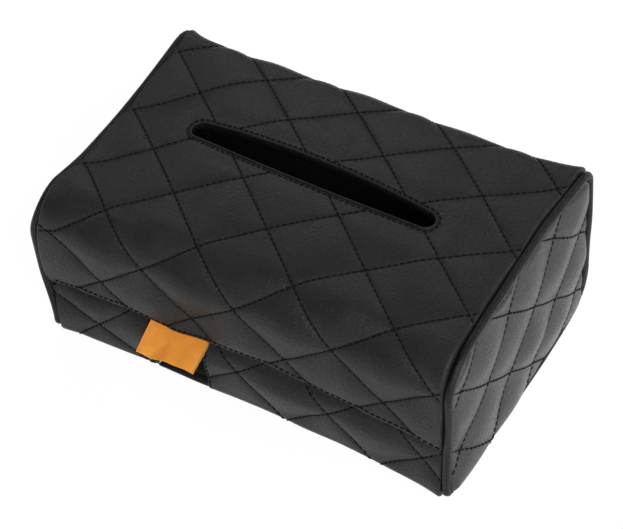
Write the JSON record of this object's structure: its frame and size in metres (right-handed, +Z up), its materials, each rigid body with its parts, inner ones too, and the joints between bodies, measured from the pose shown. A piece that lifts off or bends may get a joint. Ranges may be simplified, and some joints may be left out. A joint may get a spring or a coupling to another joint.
{
  "type": "car tissue holder",
  "caption": "Soft quilted leather box for facial tissues, with a long dispensing slot in the top, piped ends and a front loading flap that lifts by a small tag.",
  "frame": {"origin": "middle of the flat base, under the box", "axes": "+X along the box, -Y the front with the flap, +Z up through the slot"},
  "size_m": [0.23, 0.1574, 0.1018],
  "materials": {
    "quilted_leather": "black grained imitation leather, stitched in diamonds over foam",
    "piping_leather": "smooth black imitation leather, turned edges",
    "base_leather": "plain black imitation leather",
    "grey_board": "grey box board",
    "lining_cloth": "thin black non-woven lining",
    "fastening_tape": "black hook and loop tape",
    "tag_ribbon": "orange woven satin ribbon",
    "filler_cord": "off-white piping cord"
  },
  "bodies": {
    "box": {"main_panel": "quilted_leather", "lower_front_left": "quilted_leather", "lower_front_right": "quilted_leather", "base_panel": "base_leather", "slot_binding": "piping_leather", "top_board": "grey_board", "back_board": "grey_board", "base_board": "grey_board", "body_lining": "lining_cloth", "base_lining": "lining_cloth", "lower_lining_left": "lining_cloth", "lower_lining_right": "lining_cloth", "hook_tape_left": "fastening_tape", "hook_tape_right": "fastening_tape", "end_panel_right": "quilted_leather", "end_board_right": "grey_board", "end_lining_right": "lining_cloth", "piping_right": "piping_leather", "piping_cord_right": "filler_cord", "end_panel_left": "quilted_leather", "end_board_left": "grey_board", "end_lining_left": "lining_cloth", "piping_left": "piping_leather", "piping_cord_left": "filler_cord"},
    "flap": {"front_flap": "quilted_leather", "flap_lining": "lining_cloth", "loop_tape_left": "fastening_tape", "loop_tape_right": "fastening_tape", "pull_tag": "tag_ribbon"}
  },
  "joints": [
    {"name": "flap_fold", "type": "hinge", "parent": "box", "child": "flap", "pos_m": [0, -0.04922, 0.08658], "axis": [-1, 0, 0], "range_deg": [0, 120]}
  ]
}
